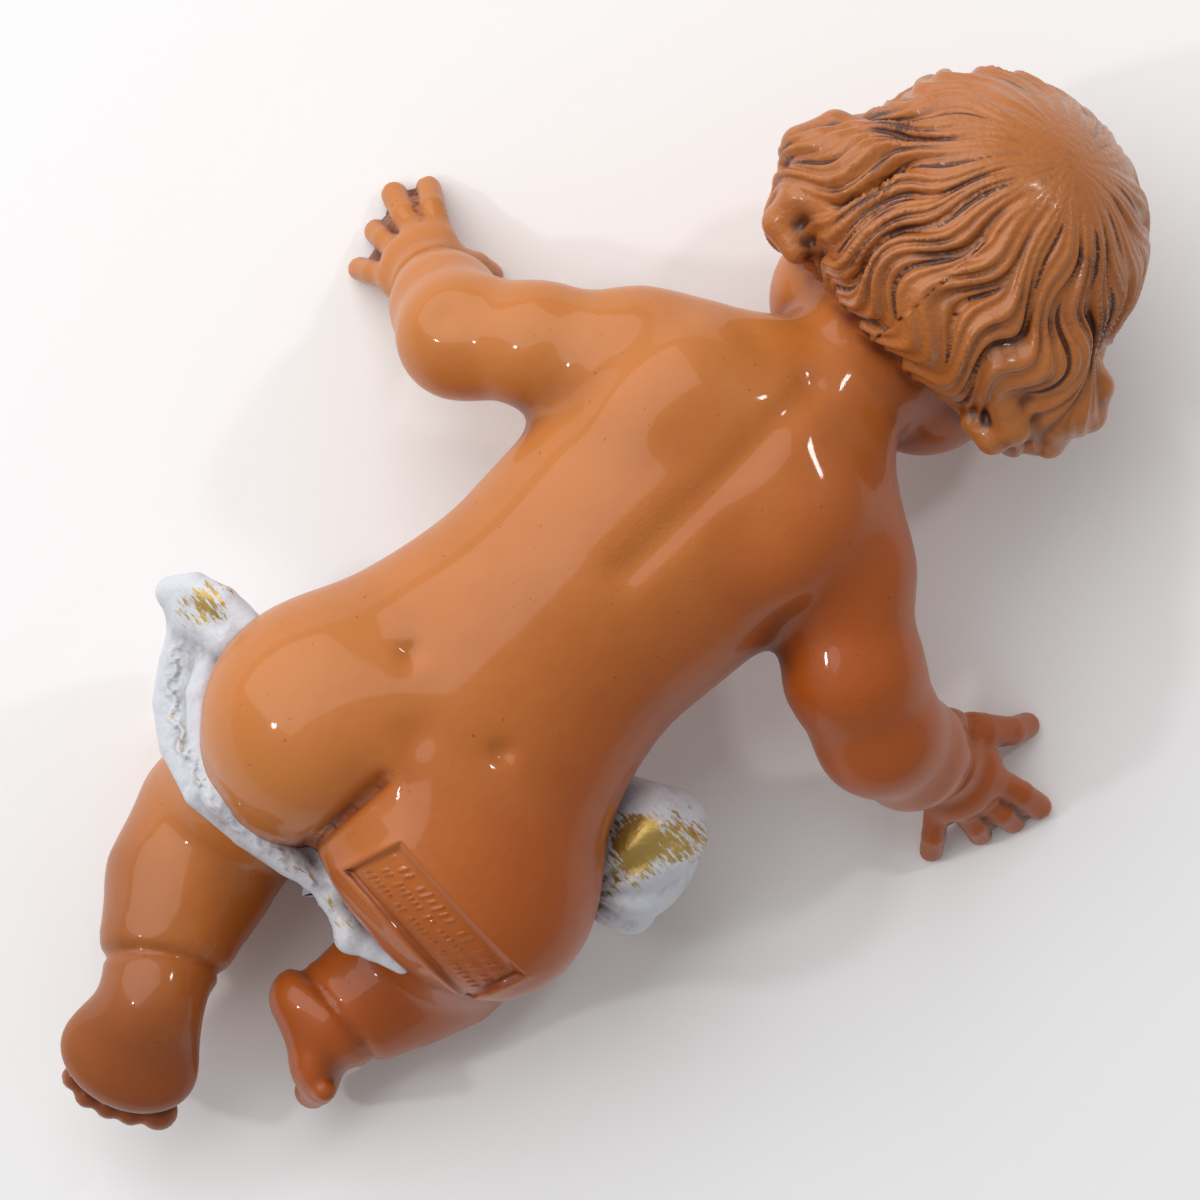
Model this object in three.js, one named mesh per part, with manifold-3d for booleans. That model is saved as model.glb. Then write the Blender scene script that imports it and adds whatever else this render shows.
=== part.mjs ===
// An infant figure for a crib scene: a naked child with a loincloth, moulded in one piece with hair and cloth,
// lying face down on its knees and hands with the back up.
// +Z is up, +Y runs from the feet to the crown of the head and +X is the figure's right side. Millimetres.
import * as THREE from "three";
import Module from "manifold-3d";
import { mergeVertices } from "three/addons/utils/BufferGeometryUtils.js";

// Driving dimensions
const LENGTH = 283; // crown of the head to the toes of the left foot
const CLOTH = 2.2; // thickness of the loincloth over the body
const PANEL_LENGTH = 35; // maker's panel sunk in the right buttock
const PANEL_WIDTH = 11.5;
const PANEL_DEPTH = 0.9;
const PANEL_RIM = 1.1;
const LOCKS = 22; // locks of hair around the head
const LOCK_RELIEF = 2.4; // from the crest of a lock to the groove beside it

// The pose and the forms are drawn in shares of the length: one share is a 283rd of it.
const SHARES = 283;
const U = LENGTH / SHARES;
const FLOOR = -50; // height in shares at which the knees and hands rest, from the middle of the chest
const CELL = 1.9 * U; // grid on which the surface is found
const TRIANGLES = 9400; // how many the finished figure keeps

function span(x, y, z) {
  return Math.sqrt(x * x + y * y + z * z);
}

// Each form is { c, R, d }: a bounding ball and a signed distance that is negative inside.

function smoothMin(a, b, k) {
  const h = Math.max(k - Math.abs(a - b), 0) / k;
  return Math.min(a, b) - (h * h * k) / 4;
}

function smoothMax(a, b, k) {
  return -smoothMin(-a, -b, k);
}

// An ellipsoid at a place in shares, turned by degrees about x, y and z.
function ball([cx, cy, cz], radii, turn) {
  const [rx, ry, rz] = (Array.isArray(radii) ? radii : [radii, radii, radii]).map((r) => r * U);
  const c = [cx * U, cy * U, cz * U];
  const R = Math.max(rx, ry, rz);
  if (!turn && rx === ry && ry === rz)
    return { c, R, d: (x, y, z) => span(x - c[0], y - c[1], z - c[2]) - rx };
  const e = (turn ?? [0, 0, 0]).map(THREE.MathUtils.degToRad);
  const m = new THREE.Matrix4().makeRotationFromEuler(new THREE.Euler(...e)).invert().elements;
  return {
    c,
    R,
    d(x, y, z) {
      const px = x - c[0];
      const py = y - c[1];
      const pz = z - c[2];
      const qx = m[0] * px + m[4] * py + m[8] * pz;
      const qy = m[1] * px + m[5] * py + m[9] * pz;
      const qz = m[2] * px + m[6] * py + m[10] * pz;
      const k0 = span(qx / rx, qy / ry, qz / rz);
      const k1 = span(qx / (rx * rx), qy / (ry * ry), qz / (rz * rz));
      return k1 === 0 ? -Math.min(rx, ry, rz) : (k0 * (k0 - 1)) / k1;
    },
  };
}

// A limb that tapers evenly between two joints, each [x, y, z, radius] in shares.
function segment(a, b) {
  const [ax, ay, az, ar] = a.map((v) => v * U);
  const [bx, by, bz, br] = b.map((v) => v * U);
  const dx = bx - ax;
  const dy = by - ay;
  const dz = bz - az;
  const length = Math.hypot(dx, dy, dz);
  return {
    c: [(ax + bx) / 2, (ay + by) / 2, (az + bz) / 2],
    R: length / 2 + Math.max(ar, br),
    d(x, y, z) {
      const t = ((x - ax) * dx + (y - ay) * dy + (z - az) * dz) / (length * length);
      const s = Math.min(1, Math.max(0, t));
      return span(x - ax - s * dx, y - ay - s * dy, z - az - s * dz) - ar - s * (br - ar);
    },
  };
}

function bound(forms, margin) {
  const c = [0, 1, 2].map((i) => forms.reduce((sum, f) => sum + f.c[i], 0) / forms.length);
  const R = Math.max(...forms.map((f) => f.R + Math.hypot(...f.c.map((v, i) => v - c[i]))));
  return { c, R: R + margin };
}

function blend(softness, ...forms) {
  const k = softness * U;
  return {
    ...bound(forms, k / 4),
    d(x, y, z) {
      let d = Infinity;
      let nearest = Infinity;
      for (const f of forms) {
        const far = span(x - f.c[0], y - f.c[1], z - f.c[2]) - f.R;
        if (far > d + k) {
          nearest = Math.min(nearest, far);
          continue;
        }
        const v = f.d(x, y, z);
        d = d === Infinity ? v : smoothMin(d, v, k);
      }
      return Math.min(d, nearest);
    },
  };
}

// A run of joints: round cones one after the other.
function chain(softness, ...joints) {
  return blend(softness, ...joints.slice(1).map((b, i) => segment(joints[i], b)));
}

function carve(softness, form, ...cutters) {
  const k = softness * U;
  return {
    ...form,
    d(x, y, z) {
      let d = form.d(x, y, z);
      for (const f of cutters) d = smoothMax(d, -f.d(x, y, z), k);
      return d;
    },
  };
}

// Shallow marks pressed into the back of a form: each mark is a function of the place that gives a depth.
function press(form, ...marks) {
  return {
    ...form,
    d(x, y, z) {
      let d = form.d(x, y, z);
      if (d > 6 * U || d < -6 * U) return d;
      for (const mark of marks) d += mark(x, y, z);
      return d;
    },
  };
}

// A groove along a line of [x, y] points as seen from above. It fades out below the height low.
function groove(points, width, depth, low = -6) {
  const line = points.map((p) => p.map((v) => v * U));
  const w = width * U;
  const deep = depth * U;
  return (x, y, z) => {
    const fade = Math.min(1, Math.max(0, (z / U - low) / 8));
    if (fade === 0) return 0;
    let near = Infinity;
    for (let i = 1; i < line.length; i++) {
      const [ax, ay] = line[i - 1];
      const dx = line[i][0] - ax;
      const dy = line[i][1] - ay;
      const t = Math.min(1, Math.max(0, ((x - ax) * dx + (y - ay) * dy) / (dx * dx + dy * dy)));
      near = Math.min(near, span(x - ax - t * dx, y - ay - t * dy, 0));
    }
    return near > 3 * w ? 0 : fade * deep * Math.exp(-((near / w) ** 2));
  };
}

function torso() {
  const trunk = blend(
    12,
    ball([-2.5, 24, 0], [32, 36, 25]),
    ball([0, 45, 2], [36, 15, 18]),
    ball([-3, -6, -5], [30.5, 38, 26]),
    ball([-2, -33, -1], [34.5, 27, 24.5]),
    ball([0, -51, 0], [41.5, 26, 24.5]),
  );
  const seat = blend(4, ball([-21.5, -58, 7], [22, 20.5, 19.5]), ball([21, -58, 7], [26, 20.5, 19.5]));
  const neck = segment([1, 50, 1, 17], [2, 74, -5, 16]);
  const slopes = [-1, 1].map((side) => segment([side * 12, 54, 3, 9], [side * 32, 41, 0, 9]));
  const blades = [-1, 1].map((side) => ball([side * 18 - 1, 37, 13], [11, 15, 10], [0, 0, side * 12]));
  return blend(13, blend(8, trunk, neck, ...slopes, ...blades), seat);
}

function leftArm() {
  const joints = [
    [-31, 36.5, 0, 12.5],
    [-45, 27, -3, 12],
    [-58, 17, -10, 12.3],
    [-65, 19, -21, 10.7],
    [-70, 20.5, -29, 8.8],
  ];
  return chain(4, ...joints);
}

function rightArm() {
  const joints = [
    [32, 37, 0, 12.5],
    [46, 26.5, -3, 13.6],
    [58.5, 22, -10, 12.6],
    [66.5, 24, -21, 11.2],
    [71.5, 27, -29, 8.8],
  ];
  return chain(4, ...joints);
}

function fingers(...runs) {
  return blend(0.4, ...runs.map((joints) => chain(0.5, ...joints)));
}

function leftHand() {
  return blend(
    2,
    ball([-76, 21.5, -35], [8, 9.5, 5.5], [0, -25, 0]),
    fingers(
      [[-77, 28, -37, 3.1], [-83, 31.5, -41, 2.8], [-87, 34, -47.5, 2.7]],
      [[-80, 25, -38, 3.1], [-86, 26.5, -42, 2.8], [-91, 28, -48, 2.8]],
      [[-80, 20, -38, 3], [-85, 20, -43, 2.7], [-88, 20, -48.2, 2.7]],
      [[-78, 15.5, -37, 2.8], [-82, 13.5, -42, 2.5], [-85, 12, -48.3, 2.5]],
      [[-71, 27, -36, 3.6], [-68, 29.5, -42, 3.2], [-65, 30.5, -48, 3]],
    ),
  );
}

function rightHand() {
  return blend(
    2,
    ball([79, 28, -35], [8, 9.5, 5.5], [0, 25, 0]),
    fingers(
      [[69, 33, -31, 4.6], [74.5, 38, -36, 3.8], [79, 42.5, -41, 3], [81, 46, -47.8, 2.8]],
      [[84, 33, -38, 3.1], [90, 35, -42, 2.8], [95, 36, -47.8, 2.8]],
      [[84, 28.5, -39, 3], [90, 29.5, -43, 2.7], [93.5, 30, -48.2, 2.6]],
      [[83, 24, -39, 3], [88, 23.7, -43, 2.6], [90.5, 23.3, -48.3, 2.6]],
      [[80, 20, -38, 2.8], [83.5, 16, -42, 2.5], [86, 13.5, -48.3, 2.5]],
    ),
  );
}

function leftLeg() {
  const joints = [
    [-21, -60, -3, 20],
    [-21.5, -88, -34.4, 16.5],
    [-17, -102, -29, 15.5],
    [-11, -113, -22, 12],
    [-7, -119, -18, 9.5],
  ];
  return chain(6, ...joints);
}

function leftFoot() {
  const heel = ball([-4.5, -121.5, -15.5], 9.8);
  const sole = blend(11, heel, ball([0.5, -134, -19], [14.5, 10.5, 7], [0, 0, 22]));
  const toes = [
    [12.5, -138, -26, 4],
    [8.5, -142, -26, 3.1],
    [4.5, -144.5, -26, 2.9],
    [0, -146, -25.5, 2.8],
    [-4.5, -145.5, -25, 2.6],
  ];
  return blend(1.5, sole, ...toes.map(([x, y, z, r]) => ball([x, y, z], r)));
}

function rightLeg() {
  const joints = [
    [24, -57, -3, 21],
    [29, -75, -35.9, 15.5],
    [27, -86, -32, 13],
    [25, -95, -28, 10.5],
    [24, -99, -26, 9.3],
  ];
  return chain(6, ...joints);
}

function rightFoot() {
  const heel = ball([17.5, -101, -27], [8, 7, 9]);
  const sole = blend(5, heel, ball([27.5, -108, -29], [8.5, 5.5, 10.5], [0, 0, -35]));
  const toes = [0, 1, 2, 3, 4].map(
    (i) => ball([33 - 0.3 * i, -110 - 0.9 * i, -21 - 4.2 * i], 2.4 + 0.35 * i)
  );
  return blend(1.5, sole, ...toes);
}

// The child's face is a calm one on the usual proportions: the eyes closed, at half the height of the head.
function head() {
  const cranium = ball([1, 106, -4], [31.5, 31, 33]);
  const cheeks = [-1, 1].map((side) => ball([2 + side * 13, 79.5, -19], [14, 15, 16]));
  const jaw = ball([2, 76, -17], [19, 13, 17]);
  const chin = ball([2, 67.5, -30], [7, 5.5, 6]);
  const muzzle = ball([2, 77, -32], [9.5, 7.5, 7]);
  const sockets = [-1, 1].map((side) => ball([2 + side * 13, 94.5, -45], [9, 6, 8.5]));
  const skull = carve(6, blend(6, blend(10, cranium, jaw, ...cheeks), chin, muzzle), ...sockets);
  const bridge = segment([2, 99, -35.5, 2.2], [2, 87.5, -41.5, 3.3]);
  const wings = [-1, 1].map((side) => ball([2 + side * 3.6, 86, -39], 2.4));
  const lids = [-1, 1].map((side) => ball([2 + side * 12, 93.5, -30.5], [7, 5.5, 6.5]));
  const upperLip = [-1, 1].map(
    (side) => segment([2 + side * 6.5, 77.2, -38, 1.2], [2 + side * 1.4, 78.4, -40.6, 1.7])
  );
  const lowerLip = segment([-1, 74.4, -39.5, 1.9], [5, 74.4, -39.5, 1.9]);
  const ears = [-1, 1].map((side) => ball([1 + side * 31, 90, -9], [3.5, 7.5, 5], [0, side * 20, 0]));
  const face = blend(3, skull, ...lids, blend(2, bridge, ...wings));
  return blend(2, blend(1, face, ...upperLip, lowerLip), ...ears);
}

// Where a point of the hair lies around the whorl on the back of the crown: the angle down and the angle around.
const HEAD = [1, 104, -1].map((v) => v * U);
const WHORL = new THREE.Vector3(0.05, 0.64, 0.76).normalize();
const ACROSS = new THREE.Vector3(1, 0, 0).addScaledVector(WHORL, -WHORL.x).normalize();
const DOWN = new THREE.Vector3().crossVectors(ACROSS, WHORL);

// The hair parts into locks that run down from the whorl in waves: 1 on a lock's crest, 0 in the groove beside it.
function lockCrest(x, y, z) {
  const px = x - HEAD[0];
  const py = y - HEAD[1];
  const pz = z - HEAD[2];
  const r = span(px, py, pz) || 1;
  const fall = Math.acos(Math.min(1, (px * WHORL.x + py * WHORL.y + pz * WHORL.z) / r));
  const across = px * ACROSS.x + py * ACROSS.y + pz * ACROSS.z;
  const along = px * DOWN.x + py * DOWN.y + pz * DOWN.z;
  const around = Math.atan2(across, -along);
  const wave = Math.sin(8.5 * fall + 1.6 * Math.sin(2 * around + 0.6) + 1.1 * Math.sin(5 * around));
  const grown = Math.min(1, Math.max(0, (fall - 0.3) / 0.8));
  const turn = around + 0.08 * grown * wave + 0.09 * Math.sin(3 * around + 1) + 0.03 * Math.sin(7 * around);
  const depth = 0.8 + 0.5 * Math.sin(3 * around + 2 * fall) * Math.sin(4.3 * fall + 2 * around + 1);
  const lock = (turn * LOCKS) / (2 * Math.PI);
  const f = lock - Math.floor(lock);
  // A lock rises slowly from one side and drops steeply into the groove at the other.
  const slope = Math.min(f / 0.66, (1 - f) / 0.34);
  return { crest: 1 - (1 - slope) ** 2, grown, wave, depth };
}

function hair() {
  const mass = blend(
    5,
    ball([0.8, 106.8, -1], [31.6, 30, 32.5]),
    ball([1, 90, 4], [31, 15.5, 26]),
    chain(3, [-24, 97, 13, 8], [-30, 91, 5, 8], [-26, 83, 1, 8]),
    chain(3, [26, 98, 13, 8], [34, 94, 4, 8], [30, 85, 0, 8]),
  );
  const locks = {
    c: mass.c,
    R: mass.R + 3 * U,
    d(x, y, z) {
      const d = mass.d(x, y, z);
      if (d > 5 * U || d < -5 * U) return d;
      const { crest, grown, wave, depth } = lockCrest(x, y, z);
      const relief = LOCK_RELIEF * depth * (0.03 + 0.97 * grown) * (crest - 0.65) + 0.35 * U * grown * wave;
      // The face is left free in front of a line from the brow to behind the ears.
      const face = -(z + 0.62 * (y - 124 * U) + 35 * U) / 1.18 - 1.6 * U * crest;
      return smoothMax(d - relief, face, 3 * U);
    },
  };
  const curls = [
    [[32, 102, 8, 3], [38, 100.5, 5, 3.5], [41, 96, 1, 3.6], [38.5, 91, -1, 3.4], [34, 93, 2, 3]],
    [[31, 92, 11, 3.6], [37, 89.5, 6, 3.8], [39.5, 86.5, 1, 3.2], [35, 84, 0, 2.6]],
    [[24, 86, 14, 3.6], [32, 83, 9, 3.8], [31, 78.5, 6, 3.2], [26, 78, 6, 2.6]],
    [[-28, 103, 8, 3], [-35, 99, 4, 3.6], [-37.5, 92, 1, 3.8], [-34, 86.5, 1, 3.4]],
    [[-24, 88, 13, 3.6], [-30, 84, 9, 3.8], [-29, 78, 6, 3.6], [-23, 76.5, 7, 3]],
    [[-8, 126, -27, 4], [-14, 119, -32, 4], [-20, 111, -30, 3.4], [-22, 104, -28, 2.4]],
    [[4, 127, -27, 4.4], [2, 120, -34, 4.4], [8, 113, -36, 3.4], [13, 112, -34, 2.4]],
    [[14, 125, -24, 4], [20, 117, -29, 4], [25, 109, -26, 3.4], [25, 102, -25, 2.4]],
    [[-28, 110, -18, 4], [-32, 103, -16, 3.8], [-33, 95, -15, 3.2], [-30, 90, -17, 2.4]],
    [[30, 110, -18, 4], [34, 103, -15, 3.8], [34, 95, -15, 3.2], [31, 90, -17, 2.4]],
  ];
  return blend(2, locks, ...curls.map((joints) => chain(1, ...joints)));
}

// The cloth lies close on the body: over the front of the hips, over the left hip and below the left buttock.
function cloth(body) {
  const region = blend(
    4,
    ball([-4, -47, -27], [52, 17, 19], [0, 0, 15]),
    chain(4, [-48, -60, -10, 10], [-42, -64, -24, 12], [-30, -62, -36, 14]),
    chain(4, [-4, -58, -32, 15], [-3, -72, -22, 12], [4, -79, -8, 5]),
  );
  const rim = [
    [-58, -59, -7, 3.4],
    [-54, -64.5, -9, 3.4],
    [-50.5, -70, -10, 3.4],
    [-45.5, -77, -11, 3.4],
    [-38, -82, -9, 3.4],
    [-28, -84.6, -5, 3.4],
    [-16, -84, -6, 2.8],
    [-6, -81.8, -7, 2.4],
  ];
  const filling = [
    [-47, -60, -12, 8],
    [-45, -69, -14, 7.5],
    [-38, -76, -13, 7],
    [-28, -79, -8, 6],
    [-14, -79, -9, 5],
    [0, -78, -12, 4],
  ];
  const hem = blend(
    3.5,
    chain(
      0.4, [-48, -56, -4, 3], [-46.5, -62, -4, 3], [-42, -70.5, -4, 3.2], [-34, -78, -3, 3.2], [-24, -81.5, 0, 3]
    ),
    chain(0.4, [-24, -81.5, 0, 3], [-12, -82, -3, 2.8], [0, -80.6, -6, 2.4], [10, -80, -9, 2]),
    chain(0.4, ...rim),
    chain(0.8, ...filling),
  );
  const wrap = {
    c: region.c,
    R: region.R,
    d(x, y, z) {
      const r = region.d(x, y, z);
      if (r > 4 * U) return r;
      const folds = 0.7 * U * Math.sin(((0.94 * y - 0.34 * x) / U) * 0.62 + 1.3 * Math.sin((x / U) * 0.07));
      return smoothMax(r, body.d(x, y, z) - CLOTH - (z < -12 * U ? folds : 0), 1.5 * U);
    },
  };
  const flap = blend(
    3,
    chain(0.6, [-45, -54, 2, 3], [-52, -54.5, 1, 3.2], [-58, -57, -3, 3.4], [-61, -61, -8, 3.4]),
    chain(0.6, [-46, -59, 0, 4], [-54, -60, -5, 4.6], [-57, -61, -13, 4.8], [-50, -58, -24, 5]),
    ball([-51, -59, -12], [9, 7, 12], [0, -15, 0]),
  );
  const gathered = [
    ball([42, -28, -14], [11.5, 14, 13]),
    ball([47, -37, -14], [7.5, 8.5, 11]),
    ball([36, -30, -20], [10, 12, 10]),
  ];
  const bundle = press(
    blend(4, ...gathered),
    (x, y, z) => 0.5 * U * Math.sin(Math.atan2(y + 44 * U, x - 40 * U) * 11 + (0.3 * z) / U),
  );
  const tie = [
    [6, -80.5, -7, 2.8],
    [10, -81.5, -6.5, 2.6],
    [14, -83, -6, 3.4],
    [18.5, -81.5, -5.5, 2.4],
    [25, -79.5, -5, 2],
  ];
  const knot = chain(1, ...tie);
  return blend(2, wrap, hem, flap, bundle, knot);
}

// A crease around a limb at a place, square to the direction of the limb.
function crease([cx, cy, cz], [ax, ay, az], radius, width, depth) {
  const length = Math.hypot(ax, ay, az);
  return (x, y, z) => {
    const px = x / U - cx;
    const py = y / U - cy;
    const pz = z / U - cz;
    const away = span(px, py, pz) / radius;
    if (away > 1.6) return 0;
    const along = (px * ax + py * ay + pz * az) / length;
    return depth * U * Math.exp(-((along / width) ** 2) - away ** 6 / 8);
  };
}

function dimple([cx, cy], width, depth) {
  return (x, y, z) => {
    const apart = (x / U - cx) ** 2 + (y / U - cy) ** 2;
    return z < 0 ? 0 : depth * U * Math.exp(-(apart / (width * width)));
  };
}

// The maker's panel: a sunk rectangle with a raised rim on the lower half of the right buttock.
function panel(x, y, z) {
  if (z < 0) return 0;
  const a = Math.abs(x - 23 * U - 0.3 * (y + 67.5 * U)) - PANEL_LENGTH / 2;
  const b = Math.abs(y + 67.5 * U + 0.03 * (x - 23 * U)) - PANEL_WIDTH / 2;
  const edge = Math.max(a, b);
  const sunk = PANEL_DEPTH * Math.min(1, Math.max(0, 0.5 - edge / 1.2));
  const rim = -0.45 * Math.exp(-(((edge - PANEL_RIM) / 0.9) ** 2));
  return sunk + rim;
}

function bareBody() {
  const limbs = blend(8, torso(), leftArm(), rightArm(), leftLeg(), rightLeg());
  return press(
    blend(3, limbs, leftHand(), rightHand(), leftFoot(), rightFoot()),
    groove([[-1, 58], [-0.5, 30], [-0.5, 8]], 4, 1.5),
    groove([[-4, -55], [-4.5, -63], [-5, -75]], 1.7, 2.4, -10),
    groove([[-4.5, -60], [-5, -76]], 6, 1.8, -10),
    groove([[-4, -77], [10, -79.5], [28, -78.5], [41, -73.5]], 2, 0.9, -14),
    dimple([-18, -34], 2.6, 1.3),
    dimple([8, -34.5], 2.6, 1.3),
    dimple([-6, -45], 4, 0.8),
    dimple([-62, 17], 3, 0.8),
    crease([-71.5, 21.5, -30.5], [-0.7, 0.1, -0.7], 11, 1.3, 1.2),
    crease([73, 27, -30.5], [0.7, 0.1, -0.7], 11, 1.3, 1.2),
    crease([-10, -116.5, -19], [0.6, -0.75, 0.3], 13, 1.4, 1.3),
    crease([24.5, -98, -26.5], [-0.1, -1, 0.15], 12, 1.4, 1.3),
    panel,
  );
}

// A form that is asked more than once for the same place answers from memory.
function remembered(form) {
  const last = [NaN, NaN, NaN, 0];
  return {
    ...form,
    d(x, y, z) {
      if (x !== last[0] || y !== last[1] || z !== last[2]) {
        last[3] = form.d(x, y, z);
        [last[0], last[1], last[2]] = [x, y, z];
      }
      return last[3];
    },
  };
}

const body = remembered(bareBody());
const whole = blend(1.2, blend(4, body, head()), hair(), cloth(body));

// The zero surface of a signed distance as triangles, found in the six tetrahedra of each cube of a grid.
function surfaceOf(form) {
  const low = form.c.map((v) => Math.floor((v - form.R) / CELL) - 1);
  const [nx, ny, nz] = form.c.map((v, i) => Math.ceil((v + form.R) / CELL) + 1 - low[i]);
  const value = new Float32Array(nx * ny * nz);
  const at = (i, j, k) => i + nx * (j + ny * k);
  const measure = (i, j, k) => form.d((low[0] + i) * CELL, (low[1] + j) * CELL, (low[2] + k) * CELL) || 1e-6;
  // The grid is filled block by block: one measure in the middle shows whether the surface can come near it.
  const block = 3;
  for (let k = 0; k < nz; k += block)
    for (let j = 0; j < ny; j += block)
      for (let i = 0; i < nx; i += block) {
        const middle = measure(i + 1, j + 1, k + 1);
        const near = Math.abs(middle) < 4.2 * CELL;
        for (let c = k; c < Math.min(nz, k + block); c++)
          for (let b = j; b < Math.min(ny, j + block); b++)
            for (let a = i; a < Math.min(nx, i + block); a++) {
              value[at(a, b, c)] = near ? measure(a, b, c) : middle;
            }
      }
  const points = [];
  const faces = [];
  const known = new Map();
  const cross = (p, q) => {
    const a = Math.min(p, q);
    const b = Math.max(p, q);
    const pair = a * value.length + b;
    if (known.has(pair)) return known.get(pair);
    // Crossings keep clear of the grid's corners, so that no triangle is a splinter.
    const t = Math.min(0.9, Math.max(0.1, value[a] / (value[a] - value[b])));
    const place = (v) => [v % nx, Math.floor(v / nx) % ny, Math.floor(v / (nx * ny))];
    const pb = place(b);
    place(a).forEach((v, i) => points.push((low[i] + v + t * (pb[i] - v)) * CELL));
    known.set(pair, points.length / 3 - 1);
    return points.length / 3 - 1;
  };
  const corners = [0, 1, 2, 3, 4, 5, 6, 7].map((c) => at(c & 1, (c >> 1) & 1, c >> 2));
  const tetrahedra = [[0, 1, 3, 7], [0, 3, 2, 7], [0, 2, 6, 7], [0, 6, 4, 7], [0, 4, 5, 7], [0, 5, 1, 7]];
  for (let k = 0; k < nz - 1; k++)
    for (let j = 0; j < ny - 1; j++)
      for (let i = 0; i < nx - 1; i++) {
        const first = at(i, j, k);
        let inside = 0;
        for (const c of corners) if (value[first + c] < 0) inside++;
        if (inside === 0 || inside === 8) continue;
        const cube = corners.map((c) => first + c);
        for (const tetrahedron of tetrahedra) {
          const four = tetrahedron.map((c) => cube[c]);
          const ins = four.filter((v) => value[v] < 0);
          const out = four.filter((v) => value[v] >= 0);
          if (!ins.length || !out.length) continue;
          const loop = [];
          if (ins.length === 1) loop.push(...out.map((v) => cross(ins[0], v)));
          else if (out.length === 1) loop.push(...ins.map((v) => cross(v, out[0])));
          else loop.push(...[[0, 0], [0, 1], [1, 1], [1, 0]].map(([m, n]) => cross(ins[m], out[n])));
          // An odd reordering of the corners turns the face round.
          if (isOdd([...ins, ...out].map((v) => four.indexOf(v)))) loop.reverse();
          faces.push(loop[0], loop[1], loop[2]);
          if (loop.length === 4) faces.push(loop[0], loop[2], loop[3]);
        }
      }
  return { points, faces };
}

function isOdd(order) {
  let swaps = 0;
  order.forEach((v, i) => order.slice(i + 1).forEach((w) => (swaps += v > w)));
  return swaps % 2 === 1;
}

// The points are drawn to the middle of their neighbours and let out again, which evens the triangles.
function even({ points, faces }) {
  const P = Float64Array.from(points);
  for (const share of [0.5, -0.53, 0.5, -0.53]) {
    const sum = new Float64Array(P.length);
    const count = new Float64Array(P.length / 3);
    for (let f = 0; f < faces.length; f += 3)
      for (let i = 0; i < 3; i++) {
        const v = faces[f + i];
        const w = faces[f + ((i + 1) % 3)];
        count[v]++;
        for (let j = 0; j < 3; j++) sum[3 * v + j] += P[3 * w + j];
      }
    for (let i = 0; i < P.length; i++) P[i] += share * (sum[i] / count[Math.floor(i / 3)] - P[i]);
  }
  return { points: P, faces };
}

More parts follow.
